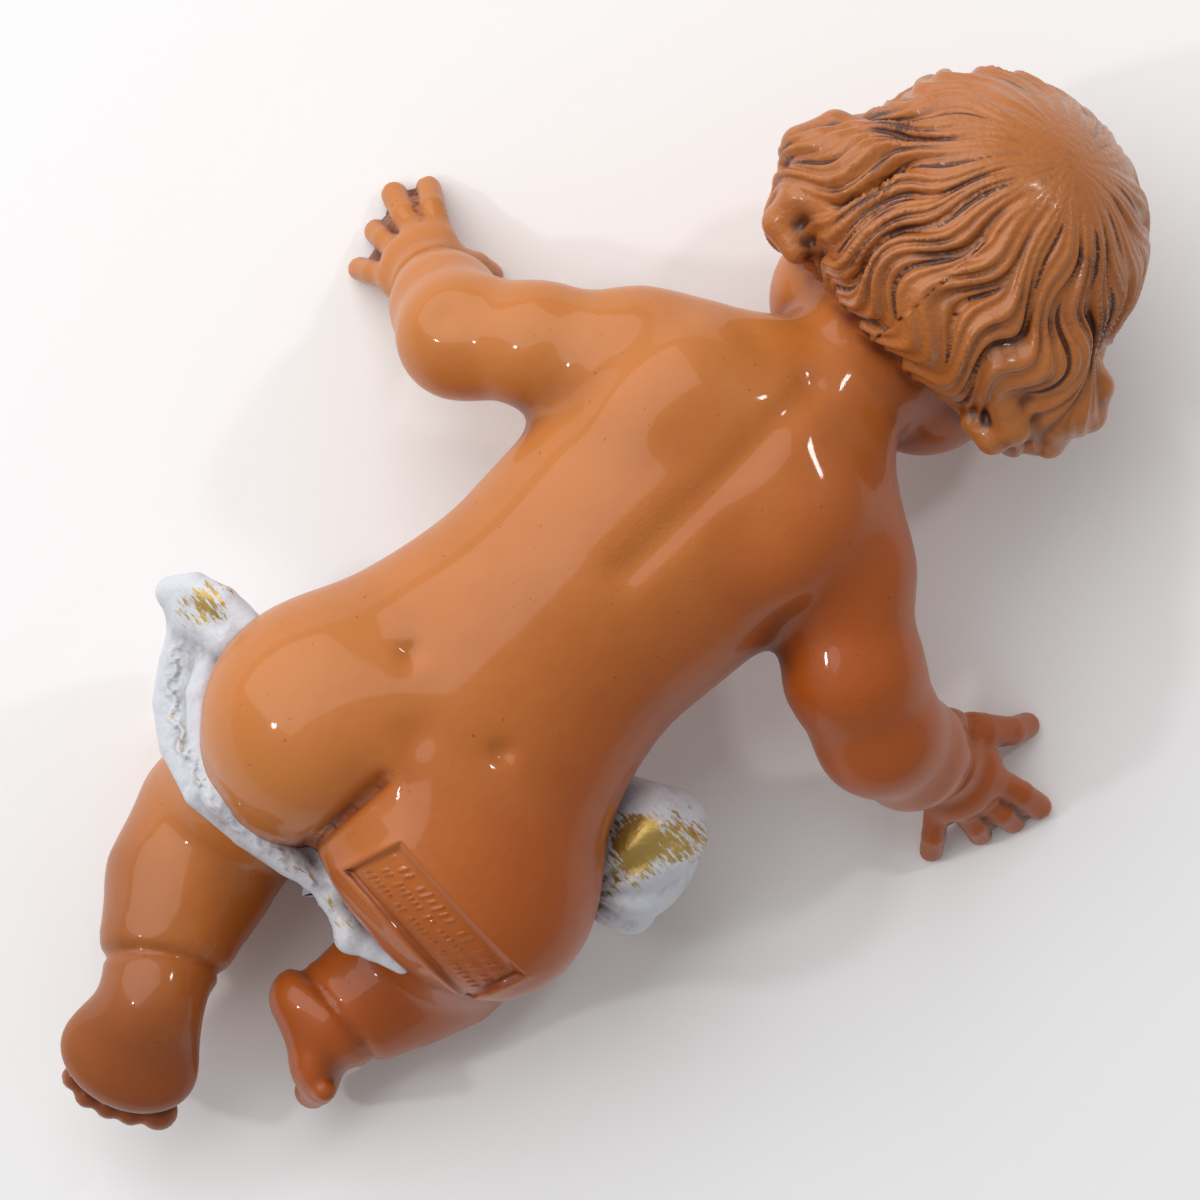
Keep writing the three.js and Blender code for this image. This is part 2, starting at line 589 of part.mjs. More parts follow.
// The triangles are thinned by folding the edges whose loss moves the surface least, until so many are left.
function thin({ points, faces }, wanted) {
  const count = points.length / 3;
  const P = Float64Array.from(points);
  const F = Int32Array.from(faces);
  const Q = new Float64Array(count * 10);
  const around = Array.from({ length: count }, () => []);
  const age = new Int32Array(count);
  const N = new Float64Array(5);

  // The normal of a face with one corner moved, its length and a measure of how far it is from a splinter.
  const measure = (f, moved, x, y, z) => {
    const c = [];
    for (let i = 0; i < 3; i++) {
      const v = F[3 * f + i];
      if (v === moved) c.push(x, y, z);
      else c.push(P[3 * v], P[3 * v + 1], P[3 * v + 2]);
    }
    const ux = c[3] - c[0];
    const uy = c[4] - c[1];
    const uz = c[5] - c[2];
    const wx = c[6] - c[0];
    const wy = c[7] - c[1];
    const wz = c[8] - c[2];
    N[0] = uy * wz - uz * wy;
    N[1] = uz * wx - ux * wz;
    N[2] = ux * wy - uy * wx;
    N[3] = Math.sqrt(N[0] * N[0] + N[1] * N[1] + N[2] * N[2]) || 1e-12;
    const across = (wx - ux) ** 2 + (wy - uy) ** 2 + (wz - uz) ** 2;
    N[4] = N[3] / (ux * ux + uy * uy + uz * uz + wx * wx + wy * wy + wz * wz + across);
  };
  for (let f = 0; f < F.length / 3; f++) {
    measure(f, -1);
    const [x, y, z] = [N[0] / N[3], N[1] / N[3], N[2] / N[3]];
    const v = F[3 * f];
    const w = -(x * P[3 * v] + y * P[3 * v + 1] + z * P[3 * v + 2]);
    const q = [x * x, x * y, x * z, x * w, y * y, y * z, y * w, z * z, z * w, w * w];
    for (let i = 0; i < 3; i++) {
      around[F[3 * f + i]].push(f);
      for (let j = 0; j < 10; j++) Q[10 * F[3 * f + i] + j] += q[j] * N[3];
    }
  }
  const fold = (a, b) => {
    const q = new Float64Array(10);
    for (let i = 0; i < 10; i++) q[i] = Q[10 * a + i] + Q[10 * b + i];
    const mx = (P[3 * a] + P[3 * b]) / 2;
    const my = (P[3 * a + 1] + P[3 * b + 1]) / 2;
    const mz = (P[3 * a + 2] + P[3 * b + 2]) / 2;
    const long = 2 * Math.hypot(mx - P[3 * a], my - P[3 * a + 1], mz - P[3 * a + 2]);
    // The best place solves a 3 by 3 system, held near the middle of the edge by a small weight.
    const h = 2e-3 * (q[0] + q[4] + q[7]) + 1e-9;
    const [A, B, C, D, E, G] = [q[0] + h, q[1], q[2], q[4] + h, q[5], q[7] + h];
    const [r0, r1, r2] = [h * mx - q[3], h * my - q[6], h * mz - q[8]];
    const [c0, c1, c2] = [D * G - E * E, C * E - B * G, B * E - C * D];
    const det = A * c0 + B * c1 + C * c2;
    let x = (c0 * r0 + c1 * r1 + c2 * r2) / det;
    let y = (c1 * r0 + (A * G - C * C) * r1 + (B * C - A * E) * r2) / det;
    let z = (c2 * r0 + (B * C - A * E) * r1 + (A * D - B * B) * r2) / det;
    if (!(Math.hypot(x - mx, y - my, z - mz) < long)) [x, y, z] = [mx, my, mz];
    const bend =
      q[0] * x * x + q[4] * y * y + q[7] * z * z + q[9] +
      2 * (q[1] * x * y + q[2] * x * z + q[5] * y * z + q[3] * x + q[6] * y + q[8] * z);
    return { a, b, x, y, z, cost: Math.max(0, bend) + 2e-5 * long ** 3, stamp: age[a] + age[b] };
  };
  const heap = [];
  const push = (item) => {
    let i = heap.push(item) - 1;
    while (i > 0) {
      const up = (i - 1) >> 1;
      if (heap[up].cost <= item.cost) break;
      heap[i] = heap[up];
      i = up;
    }
    heap[i] = item;
  };
  const pop = () => {
    const top = heap[0];
    const last = heap.pop();
    const size = heap.length;
    if (!size) return top;
    let i = 0;
    for (;;) {
      let child = 2 * i + 1;
      if (child >= size) break;
      if (child + 1 < size && heap[child + 1].cost < heap[child].cost) child++;
      if (heap[child].cost >= last.cost) break;
      heap[i] = heap[child];
      i = child;
    }
    heap[i] = last;
    return top;
  };
  const ring = (v) => {
    const found = new Set();
    for (const f of around[v]) for (let i = 0; i < 3; i++) found.add(F[3 * f + i]);
    found.delete(v);
    return found;
  };
  const has = (f, v) => F[3 * f] === v || F[3 * f + 1] === v || F[3 * f + 2] === v;
  const spoils = (v, other, { x, y, z }) => {
    for (const f of around[v]) {
      if (has(f, other)) continue;
      measure(f, -1);
      const [ox, oy, oz, length, shape] = N;
      measure(f, v, x, y, z);
      if (ox * N[0] + oy * N[1] + oz * N[2] < 0.2 * length * N[3]) return true;
      if (N[4] < 0.04 && N[4] < shape) return true;
    }
    return false;
  };
  for (let f = 0; f < F.length / 3; f++)
    for (let i = 0; i < 3; i++) {
      const a = F[3 * f + i];
      const b = F[3 * f + ((i + 1) % 3)];
      if (a < b) push(fold(a, b));
    }
  let left = F.length / 3;
  while (left > wanted && heap.length) {
    const item = pop();
    const { a, b } = item;
    if (age[a] < 0 || age[b] < 0 || age[a] + age[b] !== item.stamp) continue;
    const near = ring(a);
    let shared = 0;
    for (const v of ring(b)) if (near.has(v)) shared++;
    if (shared !== 2 || spoils(a, b, item) || spoils(b, a, item)) continue;
    for (const f of around[b]) {
      if (has(f, a)) {
        left--;
        for (let i = 0; i < 3; i++) {
          const v = F[3 * f + i];
          if (v !== b) around[v] = around[v].filter((g) => g !== f);
          F[3 * f + i] = -1;
        }
      } else {
        for (let i = 0; i < 3; i++) if (F[3 * f + i] === b) F[3 * f + i] = a;
        around[a].push(f);
      }
    }
    [P[3 * a], P[3 * a + 1], P[3 * a + 2]] = [item.x, item.y, item.z];
    for (let i = 0; i < 10; i++) Q[10 * a + i] += Q[10 * b + i];
    age[b] = -1e9;
    age[a]++;
    for (const v of ring(a)) push(fold(Math.min(a, v), Math.max(a, v)));
  }
  const used = new Map();
  const index = [...F].filter((v) => v >= 0).map((v) => used.get(v) ?? (used.set(v, used.size), used.get(v)));
  const kept = [...used.keys()].flatMap((v) => [P[3 * v], P[3 * v + 1], P[3 * v + 2]]);
  const geometry = new THREE.BufferGeometry();
  geometry.setAttribute("position", new THREE.BufferAttribute(new Float32Array(kept), 3));
  geometry.setIndex(index);
  return geometry;
}

const tools = await Module();
tools.setup();
const { Manifold, Mesh } = tools;
function solidOf(geometry) {
  const welded = mergeVertices(geometry, 1e-4);
  const mesh = new Mesh({
    numProp: 3,
    vertProperties: new Float32Array(welded.attributes.position.array),
    triVerts: new Uint32Array(welded.index.array),
  });
  return new Manifold(mesh);
}

function bareBox(width, depth, height) {
  const box = new THREE.BoxGeometry(width, depth, height);
  box.deleteAttribute("normal");
  box.deleteAttribute("uv");
  return box;
}

// The knees and the hands are ground flat where they rest.
const moulded = thin(even(surfaceOf(whole)), TRIANGLES);
const floor = FLOOR * U;
const slab = bareBox(2 * LENGTH, 2 * LENGTH, 40 * U).translate(0, 0, floor - 20 * U);
const cut = solidOf(moulded).subtract(solidOf(slab)).getMesh();
const geometry = new THREE.BufferGeometry();
geometry.setAttribute("position", new THREE.BufferAttribute(new Float32Array(cut.vertProperties), 3));
geometry.setIndex([...cut.triVerts]);

const material = new THREE.MeshStandardMaterial({ color: 0xb9743a, roughness: 0.3 });
const mesh = new THREE.Mesh(geometry, material);
mesh.name = "infant_figure";
const figure = new THREE.Group();
figure.name = "infant";
figure.add(mesh);
const box = new THREE.Box3().setFromObject(figure);
figure.position.set(-(box.min.x + box.max.x) / 2, -(box.min.y + box.max.y) / 2, -box.min.z);
export default figure;
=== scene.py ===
import math

import bmesh
import bpy
import numpy as np
from mathutils import Euler, Matrix, Vector


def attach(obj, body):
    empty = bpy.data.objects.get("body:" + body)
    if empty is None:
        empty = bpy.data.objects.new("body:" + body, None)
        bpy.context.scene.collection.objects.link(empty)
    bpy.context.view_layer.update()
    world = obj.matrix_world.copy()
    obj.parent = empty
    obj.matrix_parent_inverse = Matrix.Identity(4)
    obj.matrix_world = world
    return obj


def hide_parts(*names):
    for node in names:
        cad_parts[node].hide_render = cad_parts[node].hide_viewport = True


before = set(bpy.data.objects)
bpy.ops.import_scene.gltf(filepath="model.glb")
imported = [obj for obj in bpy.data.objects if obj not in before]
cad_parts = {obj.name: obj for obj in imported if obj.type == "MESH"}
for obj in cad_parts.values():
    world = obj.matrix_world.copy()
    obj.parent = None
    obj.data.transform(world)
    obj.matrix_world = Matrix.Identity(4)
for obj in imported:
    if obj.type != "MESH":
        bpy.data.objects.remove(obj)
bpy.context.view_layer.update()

bl_info = {
    "name": "Infant figurine",
    "version": (1, 0, 0),
    "blender": (4, 5, 0),
    "location": "View3D > Sidebar > Figurine",
    "description": "A moulded infant figure lying face down: painted skin, carved hair, gilded loincloth",
    "category": "Add Mesh",
}

MM = 1000.0  # millimetres in a metre

# The forms are drawn in millimetres from the middle of the chest, as in the part's source.
# PLACE is where that point lies in the frame.
PLACE = Vector((-2.0375, 5.7084, 50.0))
FLOOR = -50.0
SIDES = (-1, 1)


def painted(red, green, blue):
    """A colour as it looks on a screen, in the linear values that a shader takes."""
    return tuple(round(((v / 255 + 0.055) / 1.055) ** 2.4, 4) for v in (red, green, blue))


class FigurineForm(bpy.types.PropertyGroup):
    """Sizes of the relief and fineness of the meshes."""

    cloth_thickness: bpy.props.FloatProperty(
        name="Cloth thickness", description="How far the loincloth stands off the skin", default=0.0022,
        unit="LENGTH")
    lock_relief: bpy.props.FloatProperty(
        name="Lock relief", description="From the crest of a lock of hair to the groove beside it",
        default=0.0024, unit="LENGTH")
    strand_relief: bpy.props.FloatProperty(
        name="Strand relief", description="Height of the strands within a lock", default=0.0006,
        unit="LENGTH")
    scroll_relief: bpy.props.FloatProperty(
        name="Scroll relief", description="Height of the scrolls along the hem of the cloth", default=0.0004,
        unit="LENGTH")
    skin_cell: bpy.props.FloatProperty(
        name="Skin mesh", description="Width of a face of the skin", default=0.00105, unit="LENGTH")
    hair_cell: bpy.props.FloatProperty(
        name="Hair mesh", description="Width of a face of the hair", default=0.00046, unit="LENGTH")
    cloth_cell: bpy.props.FloatProperty(
        name="Cloth mesh", description="Width of a face of the cloth", default=0.0005, unit="LENGTH")


class FigurineFinish(bpy.types.PropertyGroup):
    """Colours of the paint, painted shade among them, and the light of the stage."""

    skin: bpy.props.FloatVectorProperty(
        name="Skin", description="Paint of the skin where it is bare of glaze", subtype="COLOR", size=3,
        default=painted(192, 116, 52))
    # Painted shade: the skin colour for the right side and the lower parts, darker and more orange as if
    # turned away from the light.
    skin_shaded: bpy.props.FloatVectorProperty(
        name="Deep skin", description="Warmer paint of the skin on the right side", subtype="COLOR", size=3,
        default=painted(168, 80, 20))
    # Real brown glaze in the creases of the skin, and painted shade where the skin runs under the hair and
    # beside the cloth.
    skin_glaze_and_shade: bpy.props.FloatVectorProperty(
        name="Skin glaze", description="Brown glaze that gathers in the hollows of the skin", subtype="COLOR",
        size=3, default=painted(104, 42, 12))
    hair: bpy.props.FloatVectorProperty(
        name="Hair", description="Paint of the hair", subtype="COLOR", size=3, default=painted(178, 106, 50))
    hair_glaze: bpy.props.FloatVectorProperty(
        name="Hair glaze", description="Dark glaze between the locks", subtype="COLOR", size=3,
        default=painted(78, 36, 18))
    cloth: bpy.props.FloatVectorProperty(
        name="Cloth", description="Pearl white of the loincloth", subtype="COLOR", size=3,
        default=painted(206, 208, 216))
    # Grey brown for real dirt on the cloth and for painted shade in its folds.
    cloth_dirt_and_shade: bpy.props.FloatVectorProperty(
        name="Cloth grime", description="Grey brown in the folds of the cloth", subtype="COLOR", size=3,
        default=painted(118, 112, 112))
    gilt: bpy.props.FloatVectorProperty(
        name="Gilt", description="Gold brushed over the cloth", subtype="COLOR", size=3,
        default=painted(190, 158, 84))
    floor: bpy.props.FloatVectorProperty(
        name="Floor", description="Pale studio floor", subtype="COLOR", size=3,
        default=painted(250, 250, 250))
    lamp_power: bpy.props.FloatProperty(
        name="Soft light", description="Power of the large soft light", default=35.0, min=0.0, unit="POWER")
    camera_height: bpy.props.FloatProperty(
        name="Camera height", description="How high the camera stands over the floor", default=1.05,
        unit="LENGTH")


# Forms

def soft_least(a, b, softness):
    """The smaller of two distances, with the valley between them filled softly."""
    near = np.maximum(softness - np.abs(a - b), 0) / softness
    return np.minimum(a, b) - near * near * softness / 4


def rise(low, high, values):
    """0 below low, 1 above high and an even curve between them."""
    share = np.clip((values - low) / (high - low), 0, 1)
    return share * share * (3 - 2 * share)


class Form:
    """A closed rounded form. away gives the distance of places from its surface, less than 0 inside.
    middle and reach bound it, and lumps are the balls and limbs that its mesh starts from."""

    def __init__(self, middle, reach, away, lumps=()):
        self.middle = np.array(middle, float)
        self.reach = float(reach)
        self.away = away
        self.lumps = list(lumps)

    def room(self, places):
        """How far places are at least from the form."""
        return np.linalg.norm(places - self.middle, axis=1) - self.reach

    def lie(self, places, step=0.12):
        """The distance of each place, and the slope of the distance there."""
        total = 0
        slope = np.zeros_like(places)
        for corner in ((1, -1, -1), (-1, -1, 1), (-1, 1, -1), (1, 1, 1)):
            value = self.away(places + np.array(corner) * step)
            total = total + value
            slope += value[:, None] * np.array(corner)
        return total / 4, slope / (4 * step)


def ball(middle, radii, turn=(0, 0, 0)):
    radii = np.array([radii] * 3 if np.isscalar(radii) else radii, float)
    spin = Euler([math.radians(t) for t in turn], "XYZ").to_matrix()
    axes = np.array(spin)
    centre = np.array(middle, float)

    def away(places):
        share = ((places - centre) @ axes) / radii
        k0 = np.linalg.norm(share, axis=1)
        k1 = np.linalg.norm(share / radii, axis=1)
        return k0 * (k0 - 1) / np.maximum(k1, 1e-9)

    matrix = Matrix.Translation(Vector(middle)) @ spin.to_4x4() @ Matrix.Diagonal((*radii, 1))
    return Form(middle, max(radii), away, [("ball", matrix)])


def limb(a, b):
    """A round cone between two joints, each (x, y, z, radius)."""
    start, end = np.array(a[:3], float), np.array(b[:3], float)
    run = end - start
    length = float(np.linalg.norm(run))

    def away(places):
        along = np.clip((places - start) @ run / length ** 2, 0, 1)
        return np.linalg.norm(places - start - along[:, None] * run, axis=1) - a[3] - along * (b[3] - a[3])

    turn = Vector(run).to_track_quat("Z", "Y").to_matrix().to_4x4()
    matrix = Matrix.Translation(Vector((start + end) / 2)) @ turn
    lumps = [("limb", matrix, a[3], b[3], length)]
    lumps += [("ball", Matrix.Translation(Vector(p[:3])) @ Matrix.Scale(p[3], 4)) for p in (a, b)]
    return Form((start + end) / 2, length / 2 + max(a[3], b[3]), away, lumps)


def blend(softness, *forms):
    """Forms joined into one, with soft valleys between them."""
    middle = sum(f.middle for f in forms) / len(forms)
    reach = max(f.reach + np.linalg.norm(f.middle - middle) for f in forms) + softness / 4

    def away(places):
        least = np.full(len(places), 1e3)
        for form in forms:
            room = form.room(places)
            near = room < least + softness
            if near.any():
                least[near] = soft_least(least[near], form.away(places[near]), softness)
            least[~near] = np.minimum(least[~near], room[~near])
        return least

    return Form(middle, reach, away, [lump for form in forms for lump in form.lumps])


def chain(softness, *joints):
    """Limbs from joint to joint, blended."""
    return blend(softness, *(limb(a, b) for a, b in zip(joints, joints[1:])))


def changed(form, change, grown=0.0):
    """The form with its distance changed by a function of the places and the distance."""
    return Form(form.middle, form.reach + grown, lambda places: change(places, form.away(places)), form.lumps)


def carved(softness, form, *cutters):
    """A form with others cut out of it, with soft edges."""
    def change(places, away):
        for cutter in cutters:
            away = -soft_least(-away, cutter.away(places), softness)
        return away

    return changed(form, change)


def pressed(form, *marks):
    """Shallow marks in a form: each is a function of the places that gives a depth."""
    def change(places, away):
        near = np.abs(away) < 6
        if near.any():
            away = away.copy()
            here = places[near]
            away[near] += sum(mark(here) for mark in marks)
        return away

    return changed(form, change)


def path_distance(points, places):
    """How far places are from a line of points, and how far along it the nearest point is."""
    least = np.full(len(places), 1e3)
    along = np.zeros(len(places))
    passed = 0.0
    for a, b in zip(points, points[1:]):
        a, b = np.array(a, float), np.array(b, float)
        length = float(np.linalg.norm(b - a))
        share = np.clip((places - a) @ (b - a) / length ** 2, 0, 1)
        away = np.linalg.norm(places - a - share[:, None] * (b - a), axis=1)
        closer = away < least
        least[closer] = away[closer]
        along[closer] = passed + share[closer] * length
        passed += length
    return least, along


def groove(points, width, depth, low=-6):
    """A groove seen from above, which fades out below the height low."""
    def mark(places):
        away, _ = path_distance(points, places[:, :2])
        return np.clip((places[:, 2] - low) / 8, 0, 1) * depth * np.exp(-((away / width) ** 2))

    return mark


def crease(middle, direction, radius, width, depth):
    """A crease around a limb, square to its direction."""
    direction = np.array(direction, float) / np.linalg.norm(direction)

    def mark(places):
        offset = places - np.array(middle)
        away = np.linalg.norm(offset, axis=1) / radius
        return depth * np.exp(-((offset @ direction / width) ** 2) - away ** 6 / 8)

    return mark


def dimple(x, y, width, depth):
    """A round dimple in the back."""
    def mark(places):
        away = ((places[:, 0] - x) ** 2 + (places[:, 1] - y) ** 2) / width ** 2
        return np.where(places[:, 2] < 0, 0, depth * np.exp(-away))

    return mark


def panel_place(places):
    """Where places lie on the sunk panel: along it and across it, from its middle."""
    y = places[:, 1] + 67.5
    return places[:, 0] - 23 - 0.3 * y, y + 0.03 * (places[:, 0] - 23)


def panel(places):
    """The sunk panel with its rim and its strokes."""
    along, across = panel_place(places)
    edge = np.maximum(np.abs(along) - 17.5, np.abs(across) - 5.75)
    sunk = 0.9 * np.clip(0.5 - edge / 1.2, 0, 1)
    rim = -0.45 * np.exp(-(((edge - 1.1) / 0.9) ** 2))
    return np.where(places[:, 2] < 0, 0, sunk + rim - 0.3 * strokes(along, across))


def strokes(along, across):
    """Rows of short raised bars, which fill the panel in place of an inscription."""
    relief = np.zeros(len(along))
    for row, (level, height, pitch) in enumerate(((2.9, 2.4, 1.7), (0.1, 1.7, 1.25), (-2.7, 1.7, 1.25))):
        index = np.floor(along / pitch)
        up = across - level
        aside = np.abs(along - (index + 0.5) * pitch - 0.25 * up)
        tall = height / 2 * (0.8 + 0.2 * np.sin(2.7 * index + row))
        bar = rise(0.42, 0.12, aside) * rise(tall + 0.15, tall - 0.15, np.abs(up))
        relief = np.maximum(relief, np.where(np.sin(1.9 * index + 1.3 * row) > 0.8, 0, bar))
    return relief * rise(16.3, 15.7, np.abs(along))


def torso():
    trunk = blend(
        12,
        ball((-2.5, 24, 0), (32, 36, 25)),
        ball((0, 45, 2), (36, 15, 18)),
        ball((-3, -6, -5), (30.5, 38, 26)),
        ball((-2, -33, -1), (34.5, 27, 24.5)),
        ball((0, -51, 0), (41.5, 26, 24.5)),
    )
    seat = blend(4, ball((-21.5, -58, 7), (22, 20.5, 19.5)), ball((21, -58, 7), (26, 20.5, 19.5)))
    neck = limb((1, 50, 1, 17), (2, 74, -5, 16))
    slopes = [limb((s * 12, 54, 3, 9), (s * 32, 41, 0, 9)) for s in SIDES]
    blades = [ball((s * 18 - 1, 37, 13), (11, 15, 10), (0, 0, s * 12)) for s in SIDES]
    return blend(13, blend(8, trunk, neck, *slopes, *blades), seat)


def fingers(*runs):
    return blend(0.4, *(chain(0.5, *joints) for joints in runs))


def limbs():
    left_arm = chain(
        4, (-31, 36.5, 0, 12.5), (-45, 27, -3, 12), (-58, 17, -10, 12.3), (-65, 19, -21, 10.7),
        (-70, 20.5, -29, 8.8))
    right_arm = chain(
        4, (32, 37, 0, 12.5), (46, 26.5, -3, 13.6), (58.5, 22, -10, 12.6), (66.5, 24, -21, 11.2),
        (71.5, 27, -29, 8.8))
    left_leg = chain(
        6, (-21, -60, -3, 20), (-21.5, -88, -34.4, 16.5), (-17, -102, -29, 15.5), (-11, -113, -22, 12),
        (-7, -119, -18, 9.5))
    right_leg = chain(
        6, (24, -57, -3, 21), (29, -75, -35.9, 15.5), (27, -86, -32, 13), (25, -95, -28, 10.5),
        (24, -99, -26, 9.3))
    return left_arm, right_arm, left_leg, right_leg


def hands():
    left = blend(
        2,
        ball((-76, 21.5, -35), (8, 9.5, 5.5), (0, -25, 0)),
        fingers(
            ((-77, 28, -37, 3.1), (-83, 31.5, -41, 2.8), (-87, 34, -47.5, 2.7)),
            ((-80, 25, -38, 3.1), (-86, 26.5, -42, 2.8), (-91, 28, -48, 2.8)),
            ((-80, 20, -38, 3), (-85, 20, -43, 2.7), (-88, 20, -48.2, 2.7)),
            ((-78, 15.5, -37, 2.8), (-82, 13.5, -42, 2.5), (-85, 12, -48.3, 2.5)),
            ((-71, 27, -36, 3.6), (-68, 29.5, -42, 3.2), (-65, 30.5, -48, 3)),
        ),
    )
    right = blend(
        2,
        ball((79, 28, -35), (8, 9.5, 5.5), (0, 25, 0)),
        fingers(
            ((69, 33, -31, 4.6), (74.5, 38, -36, 3.8), (79, 42.5, -41, 3), (81, 46, -47.8, 2.8)),
            ((84, 33, -38, 3.1), (90, 35, -42, 2.8), (95, 36, -47.8, 2.8)),
            ((84, 28.5, -39, 3), (90, 29.5, -43, 2.7), (93.5, 30, -48.2, 2.6)),
            ((83, 24, -39, 3), (88, 23.7, -43, 2.6), (90.5, 23.3, -48.3, 2.6)),
            ((80, 20, -38, 2.8), (83.5, 16, -42, 2.5), (86, 13.5, -48.3, 2.5)),
        ),
    )
    return left, right


def feet():
    left_toes = [
        ball(p, r) for p, r in (
            ((12.5, -138, -26), 4), ((8.5, -142, -26), 3.1), ((4.5, -144.5, -26), 2.9),
            ((0, -146, -25.5), 2.8), ((-4.5, -145.5, -25), 2.6))
    ]
    left_heel = ball((-4.5, -121.5, -15.5), 9.8)
    left_sole = blend(11, left_heel, ball((0.5, -134, -19), (14.5, 10.5, 7), (0, 0, 22)))
    right_toes = [ball((33 - 0.3 * i, -110 - 0.9 * i, -21 - 4.2 * i), 2.4 + 0.35 * i) for i in range(5)]
    right_heel = ball((17.5, -101, -27), (8, 7, 9))
    right_sole = blend(5, right_heel, ball((27.5, -108, -29), (8.5, 5.5, 10.5), (0, 0, -35)))
    return blend(1.5, left_sole, *left_toes), blend(1.5, right_sole, *right_toes)


def head():
    """A calm child's head on the usual proportions, with the eyes closed at half its height."""
    cranium = ball((1, 106, -4), (31.5, 31, 33))
    cheeks = [ball((2 + s * 13, 79.5, -19), (14, 15, 16)) for s in SIDES]
    jaw = ball((2, 76, -17), (19, 13, 17))
    chin = ball((2, 67.5, -30), (7, 5.5, 6))
    muzzle = ball((2, 77, -32), (9.5, 7.5, 7))
    sockets = [ball((2 + s * 13, 94.5, -45), (9, 6, 8.5)) for s in SIDES]
    skull = carved(6, blend(6, blend(10, cranium, jaw, *cheeks), chin, muzzle), *sockets)
    bridge = limb((2, 99, -35.5, 2.2), (2, 87.5, -41.5, 3.3))
    wings = [ball((2 + s * 3.6, 86, -39), 2.4) for s in SIDES]
    lids = [ball((2 + s * 12, 93.5, -30.5), (7, 5.5, 6.5)) for s in SIDES]
    upper_lip = [limb((2 + s * 6.5, 77.2, -38, 1.2), (2 + s * 1.4, 78.4, -40.6, 1.7)) for s in SIDES]
    lower_lip = limb((-1, 74.4, -39.5, 1.9), (5, 74.4, -39.5, 1.9))
    ears = [ball((1 + s * 31, 90, -9), (3.5, 7.5, 5), (0, s * 20, 0)) for s in SIDES]
    return blend(2, blend(1, blend(3, skull, *lids, blend(2, bridge, *wings)), *upper_lip, lower_lip), *ears)


def bare_body():
    return pressed(
        blend(3, blend(8, torso(), *limbs()), *hands(), *feet()),
        groove(((-1, 58), (-0.5, 30), (-0.5, 8)), 4, 1.5),
        groove(((-4, -55), (-4.5, -63), (-5, -75)), 1.7, 2.4, -10),
        groove(((-4.5, -60), (-5, -76)), 6, 1.8, -10),
        groove(((-4, -77), (10, -79.5), (28, -78.5), (41, -73.5)), 2, 0.9, -14),
        dimple(-18, -34, 2.6, 1.3),
        dimple(8, -34.5, 2.6, 1.3),
        dimple(-6, -45, 4, 0.8),
        dimple(-62, 17, 3, 0.8),
        crease((-71.5, 21.5, -30.5), (-0.7, 0.1, -0.7), 11, 1.3, 1.2),
        crease((73, 27, -30.5), (0.7, 0.1, -0.7), 11, 1.3, 1.2),
        crease((-10, -116.5, -19), (0.6, -0.75, 0.3), 13, 1.4, 1.3),
        crease((24.5, -98, -26.5), (-0.1, -1, 0.15), 12, 1.4, 1.3),
        panel,
    )


HEAD = np.array((1.0, 104.0, -1.0))
WHORL = Vector((0.05, 0.64, 0.76)).normalized()
ACROSS = (Vector((1, 0, 0)) - WHORL.x * WHORL).normalized()
DOWN = ACROSS.cross(WHORL)
LOCKS = 22


def comb(places):
    """How the hair is combed at a place: the angle down from the whorl, the lock, how far the locks have
    grown apart, their wave and how deep they are."""
    away = places - HEAD
    reach = np.maximum(np.linalg.norm(away, axis=1), 1e-6)
    fall = np.arccos(np.clip(away @ np.array(WHORL) / reach, -1, 1))
    around = np.arctan2(away @ np.array(ACROSS), -(away @ np.array(DOWN)))
    wave = np.sin(8.5 * fall + 1.6 * np.sin(2 * around + 0.6) + 1.1 * np.sin(5 * around))
    grown = np.clip((fall - 0.3) / 0.8, 0, 1)
    turn = around + 0.08 * grown * wave + 0.09 * np.sin(3 * around + 1) + 0.03 * np.sin(7 * around)
    depth = 0.8 + 0.5 * np.sin(3 * around + 2 * fall) * np.sin(4.3 * fall + 2 * around + 1)
    return fall, turn * LOCKS / (2 * math.pi), grown, wave, depth


def lock_crest(lock):
    """1 along the crest of a lock and 0 in the groove beside it, steeper on one side."""
    share = lock - np.floor(lock)
    return 1 - (1 - np.minimum(share / 0.66, (1 - share) / 0.34)) ** 2


